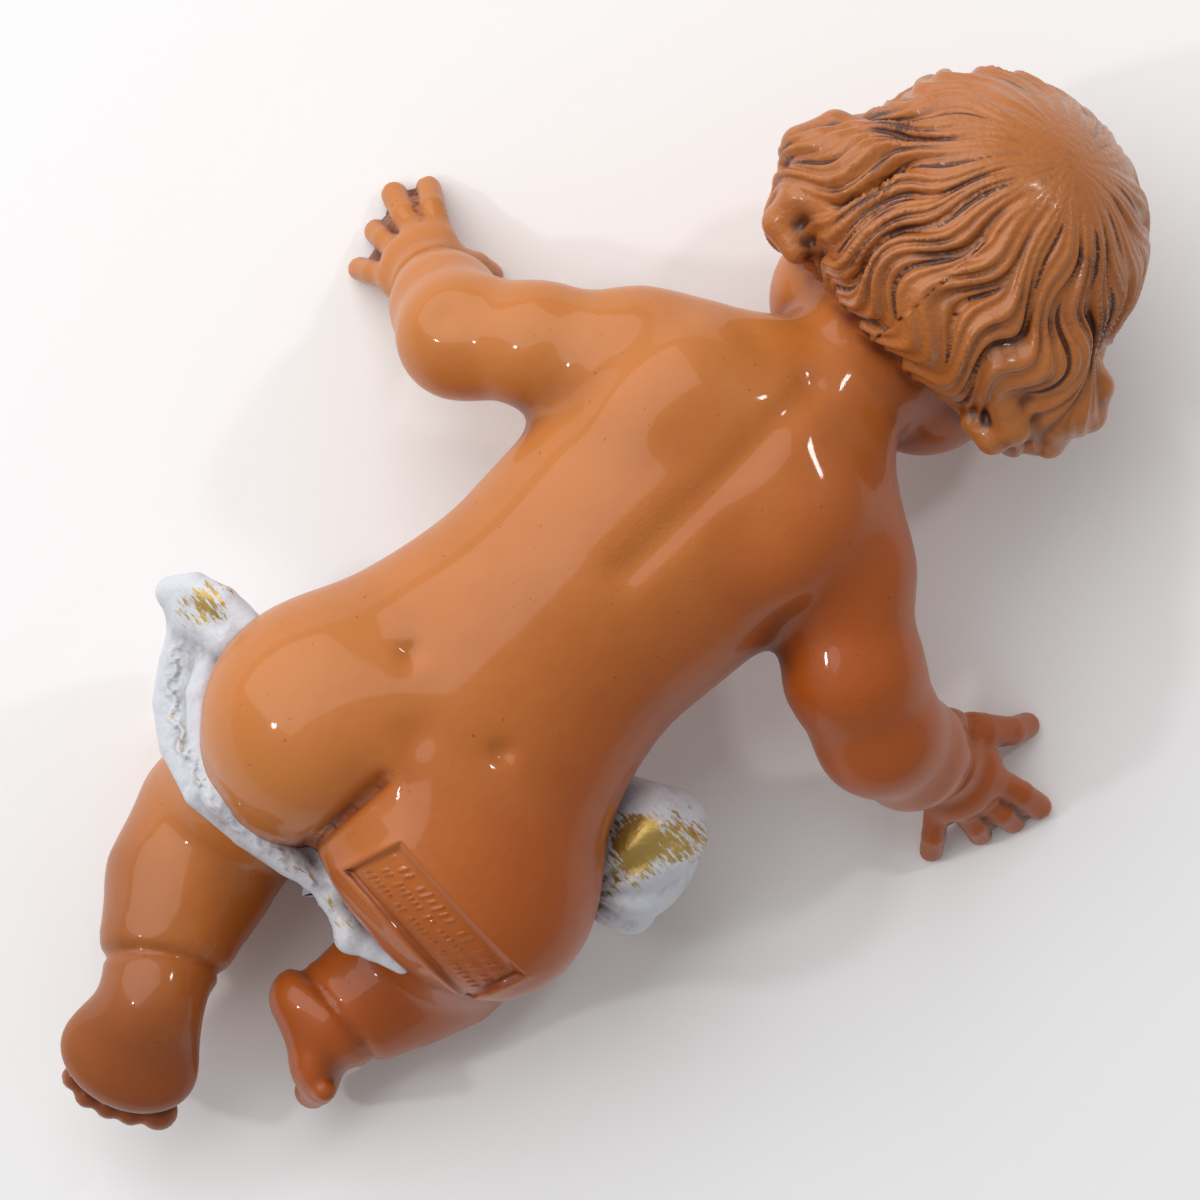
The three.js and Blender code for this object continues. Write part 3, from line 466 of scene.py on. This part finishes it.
def hair(lock_relief, strand_relief):
    mass = blend(
        5,
        ball((0.8, 106.8, -1), (31.6, 30, 32.5)),
        ball((1, 106.8, -5.6), (31.6, 30.8, 34)),
        ball((1, 90, 4), (31, 15.5, 26)),
        chain(3, (-24, 97, 13, 8), (-30, 91, 5, 8), (-26, 83, 1, 8)),
        chain(3, (26, 98, 13, 8), (34, 94, 4, 8), (30, 85, 0, 8)),
    )

    def change(places, away):
        fall, lock, grown, wave, depth = comb(places)
        crest = lock_crest(lock)
        relief = lock_relief * depth * (0.03 + 0.97 * grown) * (crest - 0.65) + 0.35 * grown * wave
        face = -(places[:, 2] + 0.62 * (places[:, 1] - 124) + 35) / 1.18 - 1.6 * crest
        strand = np.cos(2 * math.pi * (3 * lock + 0.4 * np.sin(5 * fall + 3 * np.floor(lock))))
        relief = relief + strand_relief * depth * (0.08 + 0.92 * grown) * strand
        return -soft_least(-(away - relief), -face, 3)

    locks = changed(mass, change, 3)
    curls = (
        ((32, 102, 8, 3), (38, 100.5, 5, 3.5), (41, 96, 1, 3.6), (38.5, 91, -1, 3.4), (34, 93, 2, 3)),
        ((31, 92, 11, 3.6), (37, 89.5, 6, 3.8), (39.5, 86.5, 1, 3.2), (35, 84, 0, 2.6)),
        ((24, 86, 14, 3.6), (32, 83, 9, 3.8), (31, 78.5, 6, 3.2), (26, 78, 6, 2.6)),
        ((-28, 103, 8, 3), (-35, 99, 4, 3.6), (-37.5, 92, 1, 3.8), (-34, 86.5, 1, 3.4)),
        ((-24, 88, 13, 3.6), (-30, 84, 9, 3.8), (-29, 78, 6, 3.6), (-23, 76.5, 7, 3)),
        ((-8, 126, -27, 4), (-14, 119, -32, 4), (-20, 111, -30, 3.4), (-22, 104, -28, 2.4)),
        ((4, 127, -27, 4.4), (2, 120, -34, 4.4), (8, 113, -36, 3.4), (13, 112, -34, 2.4)),
        ((14, 125, -24, 4), (20, 117, -29, 4), (25, 109, -26, 3.4), (25, 102, -25, 2.4)),
        ((-28, 110, -18, 4), (-32, 103, -16, 3.8), (-33, 95, -15, 3.2), (-30, 90, -17, 2.4)),
        ((30, 110, -18, 4), (34, 103, -15, 3.8), (34, 95, -15, 3.2), (31, 90, -17, 2.4)),
    )

    return blend(2, locks, *(chain(1, *joints) for joints in curls))


# The line of the scrolls, and the lower edge of the loincloth behind the left thigh.
BAND = (
    (-54, -65), (-51.5, -70), (-46, -76), (-37.5, -80.5), (-28, -83), (-18, -83.4), (-9, -82.2), (-2, -81))
HEM = (
    (-58, -59, -7), (-54, -64.5, -9), (-50.5, -70, -10), (-45.5, -77, -11), (-38, -82, -9),
    (-28, -84.6, -5), (-16, -84, -6), (-6, -81.8, -7))
HEM_WIDTHS = (3.4, 3.4, 3.4, 3.4, 3.4, 3.4, 2.8, 2.4)


def cloth(body, thickness, scroll_relief):
    region = blend(
        4,
        ball((-4, -47, -27), (52, 17, 19), (0, 0, 15)),
        chain(4, (-48, -60, -10, 10), (-42, -64, -24, 12), (-30, -62, -36, 14)),
        chain(4, (-4, -58, -32, 15), (-3, -72, -22, 12), (4, -79, -8, 5)),
    )

    def close_on_body(places, away):
        close = away < 4
        if close.any():
            here = places[close]
            across = 0.94 * here[:, 1] - 0.34 * here[:, 0]
            folds = 0.7 * np.sin(across * 0.62 + 1.3 * np.sin(here[:, 0] * 0.07))
            folds = np.where(here[:, 2] < -12, folds, 0)
            away = away.copy()
            away[close] = -soft_least(-away[close], -(body.away(here) - thickness - folds), 1.5)
        return away

    wrap = changed(region, close_on_body)
    hem = blend(
        3.5,
        chain(0.4, (-48, -56, -4, 3), (-46.5, -62, -4, 3), (-42, -70.5, -4, 3.2), (-34, -78, -3, 3.2),
              (-24, -81.5, 0, 3)),
        chain(0.4, (-24, -81.5, 0, 3), (-12, -82, -3, 2.8), (0, -80.6, -6, 2.4), (10, -80, -9, 2)),
        chain(0.4, *((*p, r) for p, r in zip(HEM, HEM_WIDTHS))),
        chain(0.8, (-47, -60, -12, 8), (-45, -69, -14, 7.5), (-38, -76, -13, 7), (-28, -79, -8, 6),
              (-14, -79, -9, 5), (0, -78, -12, 4)),
    )
    flap = blend(
        3,
        chain(0.6, (-45, -54, 2, 3), (-52, -54.5, 1, 3.2), (-58, -57, -3, 3.4), (-61, -61, -8, 3.4)),
        chain(0.6, (-46, -59, 0, 4), (-54, -60, -5, 4.6), (-57, -61, -13, 4.8), (-50, -58, -24, 5)),
        ball((-51, -59, -12), (9, 7, 12), (0, -15, 0)),
    )
    bundle = changed(
        blend(4, ball((42, -28, -14), (11.5, 14, 13)), ball((47, -37, -14), (7.5, 8.5, 11)),
              ball((36, -30, -20), (10, 12, 10))),
        lambda p, away: away + 0.5 * np.sin(np.arctan2(p[:, 1] + 44, p[:, 0] - 40) * 11 + 0.3 * p[:, 2]),
    )
    knot = chain(
        1, (6, -80.5, -7, 2.8), (10, -81.5, -6.5, 2.6), (14, -83, -6, 3.4), (18.5, -81.5, -5.5, 2.4),
        (25, -79.5, -5, 2))

    def scrolls(places, away):
        near = np.abs(away) < 3
        if near.any():
            away = away.copy()
            away[near] -= scroll_relief * hem_scrolls(places[near])
        return away

    return changed(blend(2, wrap, hem, flap, bundle, knot), scrolls)


def hem_scrolls(places):
    """A running scroll with beads, raised along the band above the hem."""
    plan = places[:, :2]
    aside, along = path_distance(BAND, plan)
    inner, _ = path_distance([(x + 2, y + 4) for x, y in BAND], plan)
    outer, _ = path_distance([(x - 2, y - 4) for x, y in BAND], plan)
    across = (outer - inner) / 2
    swing = np.sin(2 * math.pi * along / 6.4)
    line = rise(0.8, 0.3, np.abs(across - 1.1 * swing))
    bead = rise(0.9, 0.4, np.hypot(np.mod(along + 1.6, 3.2) - 1.6, across + 1.5 * swing))
    return np.maximum(line, bead) * rise(3.6, 2.8, aside) * rise(1, 5, along) * (places[:, 2] > -9)


def gilding(places):
    """Where gold was brushed on: the scrolls, the bundle, the flap and the knot."""
    spots = (
        (39.5, -28, 3.6, 1.1), (48.5, -21, 4, 0.55), (42, -37, 4.5, 0.5), (-53, -56, 4.5, 0.5),
        (8, -81, 4, 0.4))
    thick = sum(
        share * np.exp(-((places[:, 0] - x) ** 2 + (places[:, 1] - y) ** 2) / (2 * width * width))
        for x, y, width, share in spots)
    return np.clip(thick + 0.3 * hem_scrolls(places), 0, 1)


# Meshes

def evened(mesh, cell):
    """The same closed shape as one skin of even faces."""
    rough = bpy.data.objects.new("rough", mesh)
    bpy.context.scene.collection.objects.link(rough)
    even = rough.modifiers.new("even", "REMESH")
    even.mode = "VOXEL"
    even.voxel_size = cell
    bpy.context.view_layer.update()
    result = bpy.data.meshes.new_from_object(rough.evaluated_get(bpy.context.evaluated_depsgraph_get()))
    bpy.data.objects.remove(rough)
    bpy.data.meshes.remove(mesh)
    return result


def sculpted(form, cell, ease=0.4):
    """A mesh that starts as the balls and limbs of a form and is drawn onto its surface."""
    bm = bmesh.new()
    for kind, matrix, *sizes in form.lumps:
        if kind == "ball":
            bmesh.ops.create_icosphere(bm, subdivisions=3, radius=1, matrix=matrix)
        else:
            bmesh.ops.create_cone(
                bm, cap_ends=True, segments=20, radius1=sizes[0], radius2=sizes[1], depth=sizes[2],
                matrix=matrix)
    mesh = bpy.data.meshes.new("rough")
    bm.to_mesh(mesh)
    bm.free()
    mesh = evened(mesh, cell * 2.2)
    settle(mesh, form, 7, 0.5, 4.0)
    mesh = evened(mesh, cell)
    settle(mesh, form, 3, ease)
    return mesh


def places_of(mesh):
    places = np.empty(len(mesh.vertices) * 3)
    mesh.vertices.foreach_get("co", places)
    return places.reshape(-1, 3)


def eased(mesh, factor=0.5):
    bm = bmesh.new()
    bm.from_mesh(mesh)
    bmesh.ops.smooth_vert(
        bm, verts=bm.verts, factor=factor, use_axis_x=True, use_axis_y=True, use_axis_z=True)
    bm.to_mesh(mesh)
    bm.free()


def settle(mesh, form, steps, ease=0.5, furthest=3.0):
    """Draws each vertex onto the form's surface, and evens the mesh between the steps."""
    for step in range(steps):
        places = places_of(mesh)
        away, slope = form.lie(places)
        size = np.maximum((slope ** 2).sum(axis=1), 0.16)
        places -= slope * (np.clip(away, -furthest, furthest) / size)[:, None]
        mesh.vertices.foreach_set("co", places.ravel())
        if step < steps - 1 and ease:
            eased(mesh, ease)


def refined(mesh, chosen):
    """Divides the edges whose ends are both chosen."""
    bm = bmesh.new()
    bm.from_mesh(mesh)
    bm.verts.ensure_lookup_table()
    picked = [edge for edge in bm.edges if chosen[edge.verts[0].index] and chosen[edge.verts[1].index]]
    bmesh.ops.subdivide_edges(bm, edges=picked, cuts=1, use_grid_fill=True)
    bm.to_mesh(mesh)
    bm.free()


def on_the_floor(form):
    """The form with its lowest points cut flat on the floor."""
    return changed(form, lambda places, away: -soft_least(-away, places[:, 2] - FLOOR, 0.6))


def hollows(form, places, heights=(1.2, 3.0, 7.0)):
    """How closed in each place is: 0 on an open surface and 1 at the bottom of a deep crease."""
    _, slope = form.lie(places)
    normal = slope / np.maximum(np.linalg.norm(slope, axis=1), 1e-6)[:, None]
    return [np.clip(1 - form.away(places + normal * h) / h, -1, 1) for h in heights]


def write_value(mesh, name, values):
    layer = mesh.attributes.new(name, "FLOAT", "POINT")
    layer.data.foreach_set("value", np.ascontiguousarray(values, np.float32))


def place_piece(name, mesh, material):
    """Moves a finished mesh from the drawing's millimetres to its place in the frame."""
    mesh.transform(Matrix.Scale(1 / MM, 4) @ Matrix.Translation(PLACE))
    mesh.shade_smooth()
    mesh.materials.clear()
    mesh.materials.append(material)
    piece = bpy.data.objects.new(name, mesh)
    bpy.context.scene.collection.objects.link(piece)
    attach(piece, "root")
    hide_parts("infant_figure")
    return piece


# Materials

class Wire:
    """A socket of a finish. Sums on wires add the finish's Math nodes."""

    def __init__(self, finish, socket):
        self.finish = finish
        self.socket = socket

    def math(self, operation, *values):
        return self.finish.node("Math", {"operation": operation}, dict(enumerate(values)))

    def __add__(self, other):
        return self.math("ADD", self, other)

    __radd__ = __add__

    def __sub__(self, other):
        return self.math("SUBTRACT", self, other)

    def __rsub__(self, other):
        return self.math("SUBTRACT", other, self)

    def __mul__(self, other):
        return self.math("MULTIPLY", self, other)

    __rmul__ = __mul__

    def __truediv__(self, other):
        return self.math("DIVIDE", self, other)

    def __pow__(self, other):
        return self.math("POWER", self, other)

    def rise(self, low, high):
        return self.finish.node(
            "MapRange", {"interpolation_type": "SMOOTHSTEP"},
            {"Value": self, "From Min": low, "From Max": high})


class Finish:
    """A painted finish: its material and the nodes in it."""

    def __init__(self, name):
        self.material = bpy.data.materials.new(name)
        self.material.use_nodes = True
        self.tree = self.material.node_tree
        self.tree.nodes.clear()

    def node(self, kind, settings=None, inputs=None, output=0):
        node = self.tree.nodes.new("ShaderNode" + kind)
        for name, value in (settings or {}).items():
            setattr(node, name, value)
        for name, value in (inputs or {}).items():
            if isinstance(value, Wire):
                self.tree.links.new(value.socket, node.inputs[name])
            else:
                node.inputs[name].default_value = value
        return Wire(self, node.outputs[output])

    def place(self, stretch=(1, 1, 1), turn=(0, 0, 0)):
        """Object coordinates in centimetres, turned and stretched."""
        coordinates = self.node("TexCoord", output="Object")
        return self.node("Mapping", {}, {
            "Vector": coordinates, "Rotation": [math.radians(t) for t in turn],
            "Scale": [100 * s for s in stretch]})

    def noise(self, place, scale, detail=2.0, roughness=0.5):
        settings = {"Vector": place, "Scale": scale, "Detail": detail, "Roughness": roughness}
        return self.node("TexNoise", {}, settings)

    def value(self, name):
        return self.node("Attribute", {"attribute_name": name}, output="Fac")

    def mix(self, factor, a, b, way="MIX"):
        colours = [v if isinstance(v, Wire) else (*v[:3], 1) for v in (a, b)]
        inputs = {0: factor, 6: colours[0], 7: colours[1]}
        return self.node("Mix", {"data_type": "RGBA", "blend_type": way}, inputs, 2)

    def bump(self, height, distance, strength=1.0):
        return self.node("Bump", {}, {"Height": height, "Distance": distance, "Strength": strength}, "Normal")

    def shade(self, **inputs):
        """Ends the finish in a Principled shader with these inputs."""
        named = {name.replace("_", " "): value for name, value in inputs.items()}
        shader = self.node("BsdfPrincipled", {}, named, "BSDF")
        end = self.tree.nodes.new("ShaderNodeOutputMaterial")
        self.tree.links.new(shader.socket, end.inputs["Surface"])
        return self.material


def skin_finish(colours):
    finish = Finish("painted_skin")
    place = finish.place()
    hollow = finish.value("hollow")
    broad = finish.noise(place, 0.28, 2)
    cloudy = finish.noise(place, 1.1, 3)
    side, length, height = (finish.node("SeparateXYZ", {}, {"Vector": place}, axis) for axis in "XYZ")
    # Painted shade: the right side and the lower parts are painted darker, as if turned away from the light;
    # the broad noise adds uneven tone to the paint.
    deep = (side * 0.13 - height * 0.02 + (broad - 0.5) * 0.6 + 0.62).rise(0.0, 1.0)
    colour = finish.mix(deep, colours.skin, colours.skin_shaded)
    # The hollow value darkens the creases with real glaze, and as painted shade the skin under the hair and
    # beside the cloth.
    glaze = (hollow * 1.35 + (cloudy - 0.5) * 0.25).rise(0.02, 1.0)
    colour = finish.mix(glaze, colour, colours.skin_glaze_and_shade)
    speck = finish.noise(place, 9, 1).rise(0.76, 0.8)
    colour = finish.mix(speck * 0.5, colour, painted(70, 40, 22))
    # The legs and feet are painted darker towards their ends, the left leg most.
    shin = (length * -1.0 - side * 0.5).rise(9.4, 12.4)
    colour = finish.mix(shin * 0.5, colour, colours.skin_glaze_and_shade)
    pebbles = finish.noise(place, 14, 2)
    rough_patch = finish.value("rough_patch")
    relief = finish.noise(place, 2.2, 2) * 0.8 + pebbles * rough_patch * 0.5
    return finish.shade(
        Base_Color=colour,
        Roughness=0.42 + cloudy * 0.12 + rough_patch * 0.05,
        Normal=finish.bump(relief, 0.00025),
        Coat_Weight=0.42,
        Coat_Roughness=0.07,
        Specular_IOR_Level=0.25,
    )


def hair_finish(colours):
    finish = Finish("painted_hair")
    place = finish.place()
    hollow = finish.value("hollow")
    crest = finish.value("crest")
    patchy = finish.noise(place, 1.3, 3)
    glaze = (hollow * 1.6 + (patchy - 0.5) * 1.3 + (1 - crest) * 0.2).rise(0.05, 1.0)
    colour = finish.mix(glaze, colours.hair, colours.hair_glaze)
    return finish.shade(
        Base_Color=colour,
        Roughness=0.34 + glaze * 0.12,
        Normal=finish.bump(finish.noise(place, 7, 2), 0.0003),
        Coat_Weight=0.35,
        Coat_Roughness=0.14,
        Specular_IOR_Level=0.35,
    )


def cloth_finish(colours):
    finish = Finish("gilded_cloth")
    place = finish.place()
    hollow = finish.value("hollow")
    streaks = finish.noise(finish.place((1.2, 5, 1), (0, 0, -25)), 2.6, 5, 0.7)
    patches = finish.noise(place, 0.8, 3)
    brushed = finish.value("gilding")
    worn = (brushed * 0.55 + patches * 0.5 + streaks * 1.1 + hollow * 0.2).rise(1.02, 1.14)
    shade = finish.noise(finish.place((3, 1, 1), (0, 0, 40)), 1.2, 4, 0.6)
    # Painted shade in the folds from the hollow value, with real dirt from the noise, darkens the pearl
    # white.
    dirt_and_fold_shade = (hollow * 1.5 + (shade - 0.5) * 1.6 + (finish.noise(place, 5, 4) - 0.5) * 0.9).rise(0.0, 1.0)
    colour = finish.mix(dirt_and_fold_shade * 0.6, colours.cloth, colours.cloth_dirt_and_shade)
    colour = finish.mix(worn, colour, colours.gilt)
    return finish.shade(
        Base_Color=colour,
        Metallic=worn * 0.7,
        Roughness=0.42 + finish.noise(place, 4, 2) * 0.2 - worn * 0.12,
        Normal=finish.bump(finish.noise(place, 6, 4), 0.0003),
        Coat_Weight=0.25,
        Coat_Roughness=0.2,
    )


# Operators

class FIGURINE_OT_mould_skin(bpy.types.Operator):
    """Moulds the body, head, hands and feet, with the sunk panel, and paints the skin"""

    bl_idname = "figurine.mould_skin"
    bl_label = "Mould the Skin"

    def execute(self, context):
        sizes = context.scene.figurine_form
        body = bare_body()
        figure = blend(4, body, head())
        skin = on_the_floor(figure)
        mesh = sculpted(skin, sizes.skin_cell * MM)
        for margin in (2.0, 1.5):
            places = places_of(mesh)
            along, across = panel_place(places)
            on_panel = (np.abs(along) < 18 + margin) & (np.abs(across) < 6 + margin) & (places[:, 2] > 5)
            refined(mesh, on_panel)
        places = places_of(mesh)
        x, y, z = places.T
        on_face = (z < -22) & (y > 62) & (y < 104) & (np.abs(x - 2) < 21)
        refined(mesh, on_face)
        settle(mesh, skin, 2, 0.25)
        places = places_of(mesh)
        wrap = cloth(body, sizes.cloth_thickness * MM, 0.0)
        # The hollow value is taken against the hair and the cloth too, so the skin is also painted with shade
        # where they close over it.
        whole = blend(1.2, figure, hair(sizes.lock_relief * MM, 0.0), wrap)
        fine, near, wide = hollows(whole, places)
        write_value(mesh, "hollow", np.clip(0.35 * fine + 0.35 * near + 0.3 * wide, 0, 1))
        x, y, z = places.T
        write_value(mesh, "rough_patch", rise(1.0, 0.3, np.hypot((x + 3) / 13, (y - 15) / 26)) * (z > 0))
        place_piece("skin", mesh, skin_finish(context.scene.figurine_finish))
        return {"FINISHED"}


class FIGURINE_OT_carve_hair(bpy.types.Operator):
    """Carves the locks and curls of the hair and paints them"""

    bl_idname = "figurine.carve_hair"
    bl_label = "Carve the Hair"

    def execute(self, context):
        sizes = context.scene.figurine_form
        locks = hair(sizes.lock_relief * MM, sizes.strand_relief * MM)
        mesh = sculpted(locks, sizes.hair_cell * MM)
        places = places_of(mesh)
        fine, near, wide = hollows(locks, places, (0.7, 2.0, 5.0))
        write_value(mesh, "hollow", np.clip(0.4 * fine + 0.35 * near + 0.3 * wide, 0, 1))
        write_value(mesh, "crest", lock_crest(comb(places)[1]))
        place_piece("hair", mesh, hair_finish(context.scene.figurine_finish))
        return {"FINISHED"}


class FIGURINE_OT_wrap_cloth(bpy.types.Operator):
    """Wraps the loincloth about the hips, with the scrolls along its hem, and gilds it"""

    bl_idname = "figurine.wrap_cloth"
    bl_label = "Wrap the Loincloth"

    def execute(self, context):
        sizes = context.scene.figurine_form
        wrap = on_the_floor(cloth(bare_body(), sizes.cloth_thickness * MM, sizes.scroll_relief * MM))
        mesh = sculpted(wrap, sizes.cloth_cell * MM)
        places = places_of(mesh)
        fine, near, wide = hollows(wrap, places, (0.8, 2.2, 5.0))
        write_value(mesh, "hollow", np.clip(0.4 * fine + 0.35 * near + 0.3 * wide, 0, 1))
        write_value(mesh, "gilding", gilding(places))
        place_piece("loincloth", mesh, cloth_finish(context.scene.figurine_finish))
        return {"FINISHED"}


class FIGURINE_OT_set_stage(bpy.types.Operator):
    """Sets the floor, the soft lights and the camera straight above the back"""

    bl_idname = "figurine.set_stage"
    bl_label = "Set the Stage"

    def execute(self, context):
        look = context.scene.figurine_finish
        bm = bmesh.new()
        bmesh.ops.create_grid(bm, x_segments=4, y_segments=4, size=3.0)
        mesh = bpy.data.meshes.new("floor")
        bm.to_mesh(mesh)
        bm.free()
        floor = bpy.data.objects.new("floor", mesh)
        context.scene.collection.objects.link(floor)
        finish = Finish("studio_floor")
        mesh.materials.append(finish.shade(Base_Color=(*look.floor, 1), Roughness=0.9))

        world = bpy.data.worlds.new("studio")
        context.scene.world = world
        world.use_nodes = True
        back = world.node_tree.nodes["Background"]
        back.inputs["Color"].default_value = (1, 1, 1, 1)
        back.inputs["Strength"].default_value = 0.34
        context.scene.view_settings.view_transform = "Standard"
        target = Vector((0, 0, 0.03))
        for name, position, size, power in (
            ("soft_light", (-1.3, 0.1, 1.25), 2.4, look.lamp_power),
            ("window_light", (-0.55, -0.65, 0.9), 0.07, 1.6),
            ("head_light", (0.1, 0.95, 0.9), 0.1, 1.6),
        ):
            lamp = bpy.data.lights.new(name, "AREA")
            lamp.size = size
            lamp.energy = power
            lamp_object = bpy.data.objects.new(name, lamp)
            lamp_object.location = position
            lamp_object.rotation_mode = "QUATERNION"
            lamp_object.rotation_quaternion = (target - Vector(position)).to_track_quat("-Z", "Y")
            context.scene.collection.objects.link(lamp_object)

        camera = bpy.data.cameras.new("camera")
        camera.lens = 150
        camera.sensor_width = 36
        camera_object = bpy.data.objects.new("camera", camera)
        camera_object.location = (PLACE.x / MM, PLACE.y / MM, look.camera_height)
        camera_object.rotation_euler = (0, 0, math.radians(46))
        context.scene.collection.objects.link(camera_object)
        context.scene.camera = camera_object
        return {"FINISHED"}


class FIGURINE_PT_panel(bpy.types.Panel):
    """The figurine's steps, sizes and colours"""

    bl_label = "Infant Figurine"
    bl_idname = "FIGURINE_PT_panel"
    bl_space_type = "VIEW_3D"
    bl_region_type = "UI"
    bl_category = "Figurine"

    def draw(self, context):
        for operator in OPERATORS:
            self.layout.operator(operator.bl_idname)
        for group in (context.scene.figurine_form, context.scene.figurine_finish):
            column = self.layout.column()
            for name in type(group).__annotations__:
                column.prop(group, name)


OPERATORS = (FIGURINE_OT_mould_skin, FIGURINE_OT_carve_hair, FIGURINE_OT_wrap_cloth, FIGURINE_OT_set_stage)
CLASSES = (FigurineForm, FigurineFinish, *OPERATORS, FIGURINE_PT_panel)


def register():
    for one in CLASSES:
        bpy.utils.register_class(one)
    bpy.types.Scene.figurine_form = bpy.props.PointerProperty(type=FigurineForm)
    bpy.types.Scene.figurine_finish = bpy.props.PointerProperty(type=FigurineFinish)


def unregister():
    del bpy.types.Scene.figurine_finish
    del bpy.types.Scene.figurine_form
    for one in reversed(CLASSES):
        bpy.utils.unregister_class(one)


def main():
    register()
    bpy.ops.figurine.mould_skin()
    bpy.ops.figurine.carve_hair()
    bpy.ops.figurine.wrap_cloth()
    bpy.ops.figurine.set_stage()


if __name__ == "__main__":
    main()
